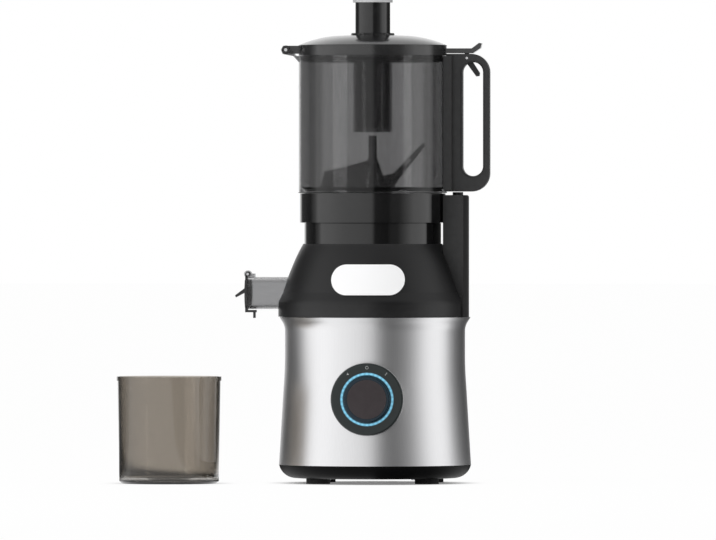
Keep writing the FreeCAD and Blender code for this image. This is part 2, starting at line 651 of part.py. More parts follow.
# Strainer
def make_strainer():
    cage = turned("strainer_cage", [
        (46.4, 166.4), (48.8, 166.4), (52.8, 246), (56, "bowl_step + 3.3"), (65.6, "bowl_step + 3.3"),
        (65.6, "bowl_step + 5.6"),
        (52, "bowl_step + 5.6"), (50.4, 246),
    ])
    window = slab(cage, "strainer_window", [(40, 176), (60, 176), (60, 236), (40, 236)], 24,
                  kind="PartDesign::Pocket")
    pattern = cage.newObject("PartDesign::PolarPattern", "strainer_windows")
    pattern.Originals = [window]
    pattern.Axis = (window.Profile[0], ["V_Axis"])
    pattern.Angle = 360
    pattern.Occurrences = 8
    cage.Tip = pattern
    doc.recompute()
    keep("strainer_frame", cage)
    keep("strainer_screen", turned("strainer_screen", [
        (45.9, 166.4), (46.3, 166.4), (50.3, 246), (49.9, 246),
    ]))


# Auger
def make_auger():
    core = turned("auger_core", [
        (0, "auger_low"), ("auger_boss", "auger_low"), ("auger_boss", 170.5), (30, 170.5), (33, 176),
        (20, 262), (13, 280), (9, 296), (5, "auger_top"), (4, "auger_top + 2"), (4, 329), (3, 330), (0, 330),
    ])
    flight_section = outline(core, "XZ_Plane", "auger_flight_section", [
        (14, 176), ("auger_reach", 179.5), ("auger_reach", 181.5), (14, 186),
    ])
    flight = core.newObject("PartDesign::AdditiveHelix", "auger_flight")
    flight.Profile = flight_section
    flight.ReferenceAxis = (flight_section, ["V_Axis"])
    flight.Mode = 0
    flight.Pitch = 34
    flight.Height = 74
    doc.recompute()
    slab(core, "auger_left_wing", [
        (0, 268), (-40, 270), (-50, 280), (-45.6, 296), (-27, 300.2), (-2, 307.3), (0, 307.3),
    ], 5)
    slab(core, "auger_right_wing", [
        (0, 268), (13, 268), (25, 289), (50.4, 320.6), (47.8, 323.4), (20, 294.4), (4, 290), (0, 290),
    ], 5)
    socket = hexagon("auger_socket_hole", "hex_radius + 2.2", 36, (0, 0, "auger_low"))
    keep("auger", cut("auger", core, socket))
    block = hexagon("insert_block", "hex_radius + 2.2", 36, (0, 0, "auger_low"))
    hole = hexagon("insert_hole", "hex_radius + 0.4", "hex_high + 0.6 - auger_low", (0, 0, "auger_low"))
    keep("auger_insert", cut("auger_insert", block, hole))


# Jar, handle and trigger
def make_jar():
    glass = turned("jar_wall", [
        (65.9, "jar_low - 6"), (65.9, "jar_low"), ("jar_radius", "jar_low"), ("jar_radius", "jar_high"),
        ("jar_radius - jar_wall", "jar_high"), ("jar_radius - jar_wall", "jar_low + 5.5"),
        (63.5, "jar_low + 1.5"), (63.5, "jar_low - 6"),
    ])
    ears = []
    for number, side in enumerate((-1, 1)):
        ear = doc.addObject("PartDesign::Body", f"jar_ear_body_{number}")
        place(ear, (0, 10.4 * side, 0))
        slab(ear, f"jar_ear_{number}", [
            (-69, 399), (-75, 405.6), ("-hinge_across - 3", 407.4), ("-hinge_across - 4.6", "hinge_high"),
            ("-hinge_across - 2.5", 415.4), ("-hinge_across + 2.5", 415.4),
            ("-hinge_across + 4.6", "hinge_high"), (-73, "jar_high"), (-69, "jar_high"),
        ], 4)
        ears.append(ear)
    inside = cylinder("jar_ear_space", "jar_radius - 1", 60, (0, 0, "jar_high - 40"))
    ears_cut = cut("jar_ears", join("jar_ear_pair", *ears), inside)
    pin_hole = cylinder("jar_pin_hole", "hinge_pin", 40, ("-hinge_across", -20, "hinge_high"), "y")
    keep("jar", cut("jar", join("jar_and_ears", glass, ears_cut), pin_hole))
    keep("lid_hinge_pin", cylinder("lid_hinge_pin", "hinge_pin", 25.6, ("-hinge_across", -12.8, "hinge_high"), "y"))


def make_handle():
    body = doc.addObject("PartDesign::Body", "handle_loop")
    slab(body, "handle_block", [
        (60, "handle_low"), ("handle_reach", "handle_low"), ("handle_reach", "handle_high"), (60, "handle_high"),
    ], "handle_width")
    rounded(body, "handle_outer_corners", 17.5, straight_edges(
        "y", ("handle_reach", "handle_low"), ("handle_reach", "handle_high")))
    slab(body, "handle_gap", [
        ("gap_left", "gap_low"), ("gap_right", "gap_low"), ("gap_right", "gap_high"), ("gap_left", "gap_high"),
    ], "handle_width + 2", kind="PartDesign::Pocket")
    rounded(body, "handle_gap_corners", 9.5, straight_edges(
        "y", ("gap_left", "gap_low"), ("gap_right", "gap_low"), ("gap_right", "gap_high"),
        ("gap_left", "gap_high")))
    slab(body, "handle_plate", [
        (60, "handle_low + 1"), (76, "handle_low + 1"), (76, "handle_high - 2"), (60, "handle_high - 2"),
    ], "handle_width + 15")
    sector(body, "handle_jar_side", [
        (0, "handle_low - 5"), ("jar_radius", "handle_low - 5"), ("jar_radius", "jar_high - 0.5"),
        ("jar_radius + 0.8", "jar_high - 0.5"), ("jar_radius + 0.8", "handle_high + 5"), (0, "handle_high + 5"),
    ], 180, "PartDesign::Groove")
    slot = box("trigger_slot", (14, 10, 14), ("trigger_across - 5.5", -5, "trigger_high - 6"))
    pin_hole = cylinder("trigger_pin_hole", 1.2, 30, ("trigger_across", -15, "trigger_high"), "y")
    keep("handle", cut("handle", body, slot, pin_hole))
    keep("trigger_pin", cylinder("trigger_pin", 1.2, "handle_width",
                                 ("trigger_across", "-handle_width / 2", "trigger_high"), "y"))
    keep("trigger_spring", ring("trigger_spring", 2.6, 1.2, 1.4, ("trigger_across", 3.3, "trigger_high"), "y"))
    lever = doc.addObject("PartDesign::Body", "trigger_lever")
    slab(lever, "trigger_shape", [
        ("trigger_across - 2", "trigger_high + 7.6"), ("trigger_across + 0.8", "trigger_high + 7.6"),
        ("trigger_across + 3", "trigger_high"), ("trigger_across + 12", 389.5), ("trigger_across + 11.6", 386.6),
        ("trigger_across + 8.6", 386.2), ("trigger_across - 1.5", "trigger_high - 3.6"),
        ("trigger_across - 3", "trigger_high"),
    ], 6)
    trigger_bore = cylinder("trigger_bore", "1.2 + running_gap", 30, ("trigger_across", -15, "trigger_high"), "y")
    keep("lid_trigger", cut("lid_trigger", lever, trigger_bore))


# Lid and pusher
def make_lid():
    dome = turned("lid_dome", [
        ("tube_outer", "lid_high"), (38, "lid_high - 1", 55.6, "lid_high - 4.4"), ("jar_radius", "lid_band"),
        ("jar_radius", "lid_low"), ("jar_radius - jar_wall - 1.4", "lid_low"),
        ("jar_radius - jar_wall - 1.4", "lid_low - 6"), ("jar_radius - jar_wall - 3.6", "lid_low - 6"),
        ("jar_radius - jar_wall - 3.6", "lid_band - 3"), (38, "lid_high - 1 - lid_wall"),
        ("tube_outer", "lid_high - lid_wall"),
    ])
    tongue = doc.addObject("PartDesign::Body", "lid_tongue")
    slab(tongue, "tongue_shape", [
        (66, 408.2), (95.8, 408.2), (103, 413), (104, 417.6), (101.5, 418), (94.5, 412.8), (66, 412.8),
    ], 18)
    slot = box("tongue_slot", (8.8, 8, 10), (84.6, -4, 405))
    knuckle = cylinder("lid_knuckle", 4.2, 16, ("-hinge_across", -8, "hinge_high"), "y")
    web = box("lid_web", (14.5, 16, 7.6), ("-hinge_across", -8, "hinge_high - 3.7"))
    bore = cylinder("knuckle_bore", "hinge_pin + running_gap", 40, ("-hinge_across", -20, "hinge_high"), "y")
    whole = join("lid_whole", dome, cut("tongue_cut", tongue, slot), knuckle, web)
    keep("lid", cut("lid", whole, bore))
    keep("lid_seal", ring("lid_seal", "jar_radius - jar_wall - 0.6", "jar_radius - jar_wall - 1.4", 2.4,
                          (0, 0, "lid_low - 4.6")))
    keep("feed_tube", turned("feed_tube", [
        ("tube_bore", "tube_low"), ("tube_outer", "tube_low"), ("tube_outer", "lid_high"),
        ("tube_outer + 2.4", "lid_high"), ("tube_outer + 1.6", "lid_high + 1.8"), ("tube_bore", "lid_high + 1.8"),
    ]))


def make_pusher():
    stick = turned("pusher_stick", [
        (0, "pusher_low"), ("pusher_radius - 2", "pusher_low"), ("pusher_radius", "pusher_low + 2"),
        ("pusher_radius", "pusher_high"), ("pusher_radius - 2.2", "pusher_high"),
        ("pusher_radius - 2.2", "pusher_low + 3"), (0, "pusher_low + 3"),
    ])
    keep("pusher", stick)
    cap = turned("pusher_cap", [
        (0, "pusher_high"), ("pusher_cap_radius", "pusher_high"), ("pusher_cap_radius", "pusher_high + 6.5"),
        ("pusher_cap_radius - 1.5", "pusher_high + 8"), (0, "pusher_high + 8"),
    ])
    keep("pusher_cap", cap)


# Cup
def make_cup():
    body = doc.addObject("PartDesign::Body", "cup")
    place(body, ("-cup_across", "-cup_front", 0))
    section = outline(body, "XZ_Plane", "cup_section", [
        (0, 1.2), (40, 1.2), (41.5, 0), ("cup_sole - 2", 0), ("cup_sole", 2), ("cup_mouth - 0.9", "cup_high - 4"),
        ("cup_mouth", "cup_high - 4"), ("cup_mouth", "cup_high"), ("cup_mouth - cup_wall", "cup_high"),
        ("cup_sole - cup_wall", 6), ("cup_sole - cup_wall - 2.5", 3.6), (0, 3.6),
    ])
    turn = body.newObject("PartDesign::Revolution", "cup_turn")
    turn.Profile = section
    turn.ReferenceAxis = (section, ["V_Axis"])
    turn.Angle = 360
    doc.recompute()
    keep("cup", body)


def write_parts():
    doc.recompute()
    failed = [thing.Label for thing in doc.Objects if "Invalid" in thing.State or "Error" in thing.State]
    if failed:
        raise RuntimeError(f"these failed: {failed}")
    for node, piece in PARTS.items():
        shape = piece.Shape
        if shape.isNull() or not shape.isValid() or not shape.Solids:
            raise RuntimeError(f"{node} has no valid solid")
    os.makedirs("parts", exist_ok=True)
    for node, piece in PARTS.items():
        piece.Shape.exportStep(f"parts/{node}.step")
        room = piece.Shape.BoundBox
        print(f"{node}: {len(piece.Shape.Solids)} solids, {piece.Shape.Volume / 1000:.2f} cm3, "
              f"x {room.XMin:.1f} to {room.XMax:.1f}, y {room.YMin:.1f} to {room.YMax:.1f}, "
              f"z {room.ZMin:.1f} to {room.ZMax:.1f}")
    print(len(PARTS), "nodes")


make_plinth()
make_feet()
make_screws()
make_posts()
make_shell()
make_deck()
make_column()
make_knob()
make_boards()
make_motor()
make_gearbox()
make_gears()
make_bowl()
make_skirt()
make_spout()
make_drip_cap()
make_pulp_spout()
make_strainer()
make_auger()
make_jar()
make_handle()
make_lid()
make_pusher()
make_cup()
write_parts()
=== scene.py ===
import math

import bpy
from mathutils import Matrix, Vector


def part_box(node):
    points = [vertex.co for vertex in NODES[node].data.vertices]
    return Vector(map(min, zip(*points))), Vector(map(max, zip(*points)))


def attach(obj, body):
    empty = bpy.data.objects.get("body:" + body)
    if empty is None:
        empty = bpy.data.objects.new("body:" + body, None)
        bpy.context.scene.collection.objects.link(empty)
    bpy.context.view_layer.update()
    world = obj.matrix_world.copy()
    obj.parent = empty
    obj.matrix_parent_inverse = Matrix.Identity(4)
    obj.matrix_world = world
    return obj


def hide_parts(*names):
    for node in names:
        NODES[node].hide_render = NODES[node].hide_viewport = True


# %% [markdown]
# # A cold press juicer, dressed for its photograph
# The working model of the juicer is loaded first. It says where every piece is and how it moves.
# Everything made below is a finish for those pieces, or a finer mesh that stands in a piece's place.

# %% Load the working model
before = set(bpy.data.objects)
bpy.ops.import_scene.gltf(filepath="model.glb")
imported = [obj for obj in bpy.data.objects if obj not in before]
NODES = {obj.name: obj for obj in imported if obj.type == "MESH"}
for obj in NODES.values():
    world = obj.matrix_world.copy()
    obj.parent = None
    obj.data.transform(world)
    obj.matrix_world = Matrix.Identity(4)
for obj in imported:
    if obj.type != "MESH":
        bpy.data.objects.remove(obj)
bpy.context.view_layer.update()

# %% [markdown]
# The photograph is almost flat on, as if taken from far away with a long lens, and a touch from the right.
# A camera 12 m away with a long focal length gives the same flat look. Its lens is worked out so that
# one pixel of the picture is 0.95 mm at the juicer.

# %% Camera
MM = 0.001
PHOTO_WIDTH = 716
MM_PER_PIXEL = 0.95
SENSOR_WIDTH = 36.0
CAMERA_DISTANCE = 12.0
CAMERA_TURN = math.radians(3.5)
CAMERA_RISE = math.radians(0.3)
AIM_ACROSS = -14.0 * MM
AIM_HIGH = 202.4 * MM

across = Vector((math.cos(CAMERA_TURN), math.sin(CAMERA_TURN), 0))
away = Vector((math.sin(CAMERA_TURN), -math.cos(CAMERA_TURN), 0))
aim = across * AIM_ACROSS + Vector((0, 0, AIM_HIGH))
rise = Vector((0, 0, math.sin(CAMERA_RISE)))
camera_data = bpy.data.cameras.new("photo_camera")
camera_data.sensor_width = SENSOR_WIDTH
camera_data.lens = SENSOR_WIDTH * CAMERA_DISTANCE / (PHOTO_WIDTH * MM_PER_PIXEL * MM)
camera_data.clip_end = 100
camera = bpy.data.objects.new("photo_camera", camera_data)
camera.location = aim + (away * math.cos(CAMERA_RISE) + rise) * CAMERA_DISTANCE
camera.rotation_euler = (aim - camera.location).to_track_quat("-Z", "Y").to_euler()
bpy.context.scene.collection.objects.link(camera)
bpy.context.scene.camera = camera
bpy.context.scene.view_settings.view_transform = "Standard"
print("lens", round(camera_data.lens), "mm at", CAMERA_DISTANCE, "m")

# %% [markdown]
# Shader trees are built with a few small helpers. One adds a node and sets its options, one joins two
# sockets, and two put in the small sums and mixes that come up all the time. The last three start a
# material, start a node group and place a group in a tree.

# %% Helpers for shader trees
def add_node(tree, kind, **settings):
    node = tree.nodes.new(kind)
    for name, value in settings.items():
        setattr(node, name, value)
    return node


def join(tree, out_socket, in_socket):
    tree.links.new(out_socket, in_socket)


def math_node(tree, operation, first, second):
    """A Math node whose two inputs are sockets or plain numbers."""
    node = add_node(tree, "ShaderNodeMath", operation=operation)
    for socket, value in zip(node.inputs, (first, second)):
        if isinstance(value, (int, float)):
            socket.default_value = value
        else:
            join(tree, value, socket)
    return node.outputs[0]


def mix_values(tree, factor, first, second):
    node = add_node(tree, "ShaderNodeMix", data_type="FLOAT")
    for label, value in (("Factor", factor), ("A", first), ("B", second)):
        if isinstance(value, (int, float)):
            node.inputs[label].default_value = value
        else:
            join(tree, value, node.inputs[label])
    return node.outputs["Result"]


def fill_ramp(node, stops):
    """Sets a colour ramp from (position, grey level) pairs in rising order."""
    elements = node.color_ramp.elements
    while len(elements) < len(stops):
        elements.new(0.5)
    for element, (position, level) in zip(elements, stops):
        element.position = position
        element.color = (level, level, level, 1)


def start_material(name):
    material = bpy.data.materials.new(name)
    material.use_nodes = True
    shader = material.node_tree.nodes["Principled BSDF"]
    return material, material.node_tree, shader


def new_group(name, inputs, outputs):
    """An empty node group with named sockets. Each socket is (name, kind, default value)."""
    group = bpy.data.node_groups.new(name, "ShaderNodeTree")
    for label, kind, value in inputs:
        socket = group.interface.new_socket(label, in_out="INPUT", socket_type="NodeSocket" + kind)
        socket.default_value = value
    for label, kind in outputs:
        group.interface.new_socket(label, in_out="OUTPUT", socket_type="NodeSocket" + kind)
    start = add_node(group, "NodeGroupInput")
    end = add_node(group, "NodeGroupOutput")
    return group, start.outputs, end.inputs


def place_group(tree, group, **values):
    node = add_node(tree, "ShaderNodeGroup", node_tree=group)
    for label, value in values.items():
        node.inputs[label.replace("_", " ")].default_value = value
    return node


print("shader helpers ready")

# %% [markdown]
# Moulded plastic is never one flat colour. The melt leaves slow changes of shade, and the mould's
# spark-eroded skin leaves a fine grain that breaks up the shine. One group makes both.

# %% Group: moulded skin
def make_moulded_skin():
    group, given, result = new_group(
        "Moulded skin",
        [("Colour", "Color", (0.05, 0.05, 0.05, 1)), ("Shade change", "Float", 0.15),
         ("Grain scale", "Float", 1400.0), ("Roughness", "Float", 0.4), ("Roughness change", "Float", 0.08)],
        [("Colour", "Color"), ("Roughness", "Float"), ("Height", "Float")],
    )
    place = add_node(group, "ShaderNodeTexCoord")
    slow = add_node(group, "ShaderNodeTexNoise")
    slow.inputs["Scale"].default_value = 14
    slow.inputs["Detail"].default_value = 3
    fine = add_node(group, "ShaderNodeTexNoise")
    fine.inputs["Detail"].default_value = 2
    join(group, place.outputs["Object"], slow.inputs["Vector"])
    join(group, place.outputs["Object"], fine.inputs["Vector"])
    join(group, given["Grain scale"], fine.inputs["Scale"])
    centred = math_node(group, "SUBTRACT", slow.outputs["Fac"], 0.5)
    shade = math_node(group, "MULTIPLY", centred, given["Shade change"])
    brightness = math_node(group, "ADD", shade, 1.0)
    colour = add_node(group, "ShaderNodeVectorMath", operation="SCALE")
    join(group, given["Colour"], colour.inputs[0])
    join(group, brightness, colour.inputs["Scale"])
    join(group, colour.outputs[0], result["Colour"])
    mottled = math_node(group, "SUBTRACT", fine.outputs["Fac"], 0.5)
    change = math_node(group, "MULTIPLY", mottled, given["Roughness change"])
    join(group, math_node(group, "ADD", change, given["Roughness"]), result["Roughness"])
    join(group, fine.outputs["Fac"], result["Height"])
    return group


MOULDED = make_moulded_skin()
print("group", MOULDED.name)

# %% [markdown]
# Corners that hands and cloths touch go paler. Pointiness measures how sharply the surface bends at each
# point, and a narrow ramp of that value picks out the edges only. Noise breaks the wear into patches.

# %% Group: handled edges
def make_handled_edges():
    group, given, result = new_group(
        "Handled edges",
        [("Colour", "Color", (0.05, 0.05, 0.05, 1)), ("Worn colour", "Color", (0.2, 0.2, 0.2, 1)),
         ("Amount", "Float", 0.3)],
        [("Colour", "Color"), ("Mask", "Float")],
    )
    shape = add_node(group, "ShaderNodeNewGeometry")
    ramp = add_node(group, "ShaderNodeMapRange")
    ramp.inputs["From Min"].default_value = 0.52
    ramp.inputs["From Max"].default_value = 0.6
    join(group, shape.outputs["Pointiness"], ramp.inputs["Value"])
    place = add_node(group, "ShaderNodeTexCoord")
    patches = add_node(group, "ShaderNodeTexNoise")
    patches.inputs["Scale"].default_value = 160
    join(group, place.outputs["Object"], patches.inputs["Vector"])
    broken = math_node(group, "MULTIPLY", ramp.outputs[0], patches.outputs["Fac"])
    mask = math_node(group, "MULTIPLY", broken, given["Amount"])
    mix = add_node(group, "ShaderNodeMix", data_type="RGBA")
    join(group, mask, mix.inputs["Factor"])
    join(group, given["Colour"], mix.inputs["A"])
    join(group, given["Worn colour"], mix.inputs["B"])
    join(group, mix.outputs["Result"], result["Colour"])
    join(group, mask, result["Mask"])
    return group


HANDLED = make_handled_edges()
print("group", HANDLED.name)

# %% [markdown]
# Brushed metal is scored all one way. Noise that is squeezed across the stroke and stretched along it
# gives long fine lines, which are used for the silver shell (upright) and for small turned steel parts.

# %% Group: brushed lines
def make_brushed_lines():
    group, given, result = new_group(
        "Brushed lines",
        [("Across", "Float", 1800.0), ("Along", "Float", 10.0), ("Roughness", "Float", 0.3),
         ("Roughness change", "Float", 0.1)],
        [("Roughness", "Float"), ("Height", "Float"), ("Shade", "Float")],
    )
    place = add_node(group, "ShaderNodeTexCoord")
    stretch = add_node(group, "ShaderNodeVectorMath", operation="MULTIPLY")
    scales = add_node(group, "ShaderNodeCombineXYZ")
    join(group, given["Across"], scales.inputs["X"])
    join(group, given["Across"], scales.inputs["Y"])
    join(group, given["Along"], scales.inputs["Z"])
    join(group, place.outputs["Object"], stretch.inputs[0])
    join(group, scales.outputs[0], stretch.inputs[1])
    lines = add_node(group, "ShaderNodeTexNoise")
    lines.inputs["Scale"].default_value = 1
    lines.inputs["Detail"].default_value = 3
    join(group, stretch.outputs[0], lines.inputs["Vector"])
    centred = math_node(group, "SUBTRACT", lines.outputs["Fac"], 0.5)
    change = math_node(group, "MULTIPLY", centred, given["Roughness change"])
    join(group, math_node(group, "ADD", change, given["Roughness"]), result["Roughness"])
    join(group, lines.outputs["Fac"], result["Height"])
    join(group, math_node(group, "ADD", math_node(group, "MULTIPLY", centred, 0.12), 1.0), result["Shade"])
    return group


BRUSHED = make_brushed_lines()
print("group", BRUSHED.name)

# %% [markdown]
# Clear pieces show finger smears: places where the shine is a little duller. A slow wave in the relief
# stands for the uneven flow of the moulding. The jar, the cup and the spout share this group.

# %% Group: finger smears
def make_smears():
    group, given, result = new_group(
        "Finger smears",
        [("Roughness", "Float", 0.05), ("Smear", "Float", 0.1)],
        [("Roughness", "Float"), ("Height", "Float")],
    )
    place = add_node(group, "ShaderNodeTexCoord")
    smear = add_node(group, "ShaderNodeTexNoise")
    smear.inputs["Scale"].default_value = 38
    smear.inputs["Detail"].default_value = 5
    smear.inputs["Distortion"].default_value = 0.8
    join(group, place.outputs["Object"], smear.inputs["Vector"])
    ramp = add_node(group, "ShaderNodeMapRange")
    ramp.inputs["From Min"].default_value = 0.5
    ramp.inputs["From Max"].default_value = 0.8
    join(group, smear.outputs["Fac"], ramp.inputs["Value"])
    dulled = math_node(group, "MULTIPLY", ramp.outputs[0], given["Smear"])
    join(group, math_node(group, "ADD", dulled, given["Roughness"]), result["Roughness"])
    wave = add_node(group, "ShaderNodeTexNoise")
    wave.inputs["Scale"].default_value = 9
    join(group, place.outputs["Object"], wave.inputs["Vector"])
    join(group, wave.outputs["Fac"], result["Height"])
    return group


SMEARS = make_smears()
print("group", SMEARS.name)

# %% [markdown]
# Each finish on the juicer is one material. Most are moulded plastics that share the same recipe:
# the skin group gives colour and roughness, the edge group pales the corners, and a Bump node
# turns the grain into relief.

# %% Recipe: moulded plastic
def add_bump(tree, shader, height, strength, distance=0.0002):
    bump = add_node(tree, "ShaderNodeBump")
    bump.inputs["Strength"].default_value = strength
    bump.inputs["Distance"].default_value = distance
    join(tree, height, bump.inputs["Height"])
    join(tree, bump.outputs["Normal"], shader.inputs["Normal"])
    return bump


def plastic(name, colour, roughness, grain=1400.0, bump=0.12, worn=0.25, shade_change=0.15,
            specular=0.5, coat=0.0):
    material, tree, shader = start_material(name)
    skin = place_group(tree, MOULDED, Colour=(*colour, 1), Shade_change=shade_change, Grain_scale=grain,
                       Roughness=roughness, Roughness_change=0.1)
    pale = [min(1.0, channel * 1.6 + 0.05) for channel in colour]
    edges = place_group(tree, HANDLED, Worn_colour=(*pale, 1), Amount=worn)
    join(tree, skin.outputs["Colour"], edges.inputs["Colour"])
    join(tree, edges.outputs["Colour"], shader.inputs["Base Color"])
    join(tree, skin.outputs["Roughness"], shader.inputs["Roughness"])
    shader.inputs["Specular IOR Level"].default_value = specular
    shader.inputs["Coat Weight"].default_value = coat
    shader.inputs["Coat Roughness"].default_value = 0.08
    add_bump(tree, shader, skin.outputs["Height"], bump)
    return material


print("recipe: moulded plastic")

# %% [markdown]
# Metals use the brushed lines. The lines only change roughness, shade and relief, so one recipe covers
# the satin shell, the turned steel and the cast parts inside.

# %% Recipe: metal
def metal(name, colour, roughness, across=1800.0, along=10.0, bump=0.1, change=0.12):
    material, tree, shader = start_material(name)
    lines = place_group(tree, BRUSHED, Across=across, Along=along, Roughness=roughness,
                        Roughness_change=change)
    tint = add_node(tree, "ShaderNodeVectorMath", operation="SCALE")
    tint.inputs[0].default_value = colour
    join(tree, lines.outputs["Shade"], tint.inputs["Scale"])
    join(tree, tint.outputs[0], shader.inputs["Base Color"])
    join(tree, lines.outputs["Roughness"], shader.inputs["Roughness"])
    shader.inputs["Metallic"].default_value = 1
    add_bump(tree, shader, lines.outputs["Height"], bump, 0.00005)
    return material


print("recipe: metal")

# %% [markdown]
# The cup is painted darker at its foot than on the wall above it: painted shade. This group gives a factor
# that is low in the first few millimetres above the table and 1 everywhere higher.

# %% Group: painted foot shade
FOOT_START = 3.0 * MM
FOOT_END = 6.5 * MM
FOOT_SHADE_FACTOR = 0.1


def make_painted_foot_shade():
    group, given, result = new_group("Painted foot shade", [("Reach", "Float", FOOT_END)], [("Factor", "Float")])
    place = add_node(group, "ShaderNodeTexCoord")
    parts = add_node(group, "ShaderNodeSeparateXYZ")
    join(group, place.outputs["Object"], parts.inputs[0])
    rise = add_node(group, "ShaderNodeMapRange")
    rise.inputs["From Min"].default_value = FOOT_START
    rise.inputs["To Min"].default_value = FOOT_SHADE_FACTOR
    join(group, parts.outputs["Z"], rise.inputs["Value"])
    join(group, given["Reach"], rise.inputs["From Max"])
    join(group, rise.outputs[0], result["Factor"])
    return group


PAINTED_FOOT_SHADE = make_painted_foot_shade()
print("group", PAINTED_FOOT_SHADE.name)

# %% [markdown]
# The jar, the cup and the spout are tinted clear plastic. Light is tinted each time it passes through a
# wall, so the colour here is the tint of one pass and the far wall makes the whole jar darker.
# The jar in the photograph has a dark upright band some way in from each side. The walls of this model
# don't give it by themselves, so it is painted: Layer Weight tells how slanted the wall is to the view,
# and a colour ramp darkens a range of that slant. Each clear piece has its own list of bands.

# %% Recipe: tinted clear plastic
JAR_BANDS = [(0.0, 0.66), (0.25, 0.63), (0.31, 0.28), (0.47, 0.28), (0.55, 0.65), (0.66, 1.0)]
CUP_BANDS = [(0.0, 1.0), (0.3, 0.92), (0.36, 0.8), (0.6, 0.86), (0.72, 0.5), (0.85, 0.2)]
PLAIN_BANDS = [(0.0, 1.0), (1.0, 0.8)]


def clear_plastic(name, colour, bands, roughness=0.04, smear=0.06, ior=1.3):
    material, tree, shader = start_material(name)
    marks = place_group(tree, SMEARS, Roughness=roughness, Smear=smear)
    slant = add_node(tree, "ShaderNodeLayerWeight")
    ramp = add_node(tree, "ShaderNodeValToRGB")
    fill_ramp(ramp, bands)
    join(tree, slant.outputs["Facing"], ramp.inputs["Fac"])
    # Painted shade: the foot factor darkens the lowest millimetres of a clear piece, and only the cup
    # reaches that low.
    foot_shade = place_group(tree, PAINTED_FOOT_SHADE)
    share = math_node(tree, "MULTIPLY", ramp.outputs["Color"], foot_shade.outputs["Factor"])
    tint = add_node(tree, "ShaderNodeVectorMath", operation="SCALE")
    tint.inputs[0].default_value = colour
    join(tree, share, tint.inputs["Scale"])
    join(tree, tint.outputs[0], shader.inputs["Base Color"])
    shader.inputs["Transmission Weight"].default_value = 1
    shader.inputs["Coat Weight"].default_value = 0.3
    shader.inputs["IOR"].default_value = ior
    join(tree, marks.outputs["Roughness"], shader.inputs["Roughness"])
    add_bump(tree, shader, marks.outputs["Height"], 0.05, 0.0005)
    return material


print("recipe: tinted clear plastic")

# %% [markdown]
# Each finish is one call of a recipe. Colours are linear, so the blacks of real plastics are small
# numbers: 0.008 already looks black under studio lamps, and the difference to 0.02 shows.

# %% Metals
SILVER = metal("satin_silver", (0.78, 0.78, 0.79), 0.36, across=2200, along=14, bump=0.03, change=0.05)
STEEL = metal("bright_steel", (0.62, 0.62, 0.63), 0.22, across=900, along=300, bump=0.06)
IRON = metal("sheet_iron", (0.3, 0.3, 0.31), 0.45, across=30, along=1600, bump=0.3)
ALLOY = metal("cast_alloy", (0.5, 0.51, 0.52), 0.5, across=500, along=500, bump=0.4)
COPPER = metal("copper_wire", (0.7, 0.32, 0.16), 0.35, across=500, along=1500, bump=0.4)
print("five metals")

# %% [markdown]
# The plastics differ in shade, in how dull they are and in how strongly they mirror the room. A coat is
# the clear gloss of a polished mould.

# %% Plastics and rubber
BLACK = plastic("black_moulding", (0.008, 0.008, 0.0084), 0.36, specular=0.38)
COLUMN_BLACK = plastic("column_black", (0.013, 0.013, 0.0134), 0.42, specular=0.35)
HANDLE_GREY = plastic("handle_grey", (0.02, 0.02, 0.0205), 0.38, specular=0.4)
PLINTH_BLACK = plastic("plinth_black", (0.003, 0.003, 0.0032), 0.5, specular=0.08, worn=0.1)
RUBBER = plastic("black_rubber", (0.008, 0.008, 0.008), 0.75, grain=700, bump=0.3, specular=0.2)
BEZEL_BLACK = plastic("bezel_grey", (0.009, 0.014, 0.014), 0.3, bump=0.06)
# The knob is black plastic; its navy tint is painted glow from the blue light ring beside it.
KNOB_BLACK_AND_GLOW = plastic("knob_black_painted_glow", (0.004, 0.016, 0.027), 0.22, bump=0.03, specular=0.35)
KNOB_FACE = plastic("knob_face_brown", (0.02, 0.013, 0.015), 0.38, grain=900)
BADGE_WHITE = plastic("badge_white", (0.93, 0.93, 0.935), 0.25, bump=0.04, shade_change=0.02, worn=0.1)
BOWL_DARK = plastic("bowl_dark", (0.0035, 0.0035, 0.0037), 0.1, bump=0.02, coat=0.35, worn=0.1)
LID_GREY = plastic("lid_grey", (0.014, 0.014, 0.0143), 0.16, bump=0.03, coat=0.45)
PUSHER_DARK = plastic("pusher_dark", (0.003, 0.003, 0.0032), 0.14, bump=0.02, coat=0.3)
CAP_GREY = plastic("cap_light_grey", (0.5, 0.5, 0.51), 0.4, shade_change=0.05)
NYLON = plastic("white_nylon", (0.7, 0.68, 0.62), 0.45, shade_change=0.05)
BOARD = plastic("circuit_board", (0.02, 0.12, 0.05), 0.35, grain=500)
SWITCH = plastic("switch_black", (0.014, 0.014, 0.015), 0.35)
MARK_GREY = plastic("mark_grey", (0.35, 0.36, 0.36), 0.5, shade_change=0.05)
print("plastics and rubber")

# %% [markdown]
# The three clear plastics share one recipe. The spout is frosted, so its roughness is higher.

# %% Clear finishes
SMOKE = clear_plastic("smoky_clear", (0.5, 0.5, 0.503), JAR_BANDS)
CUP_SMOKE = clear_plastic("cup_smoke", (0.48, 0.447, 0.405), CUP_BANDS)
SPOUT_SMOKE = clear_plastic("spout_smoke", (0.52, 0.52, 0.525), PLAIN_BANDS, roughness=0.2)
print("three clear plastics")

# %% [markdown]
# The light ring is a frosted guide with small lamps behind it. It is brightest in the middle of its
# width and over each lamp, so the glow follows the distance from the dial's centre and the angle round it.

# %% Light ring
RING_CENTRE = (Vector(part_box("light_ring")[0]) + Vector(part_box("light_ring")[1])) / 2
RING_MIDDLE = 24.1 * MM
RING_SPREAD = 1.0 * MM
LAMPS_ROUND = 36


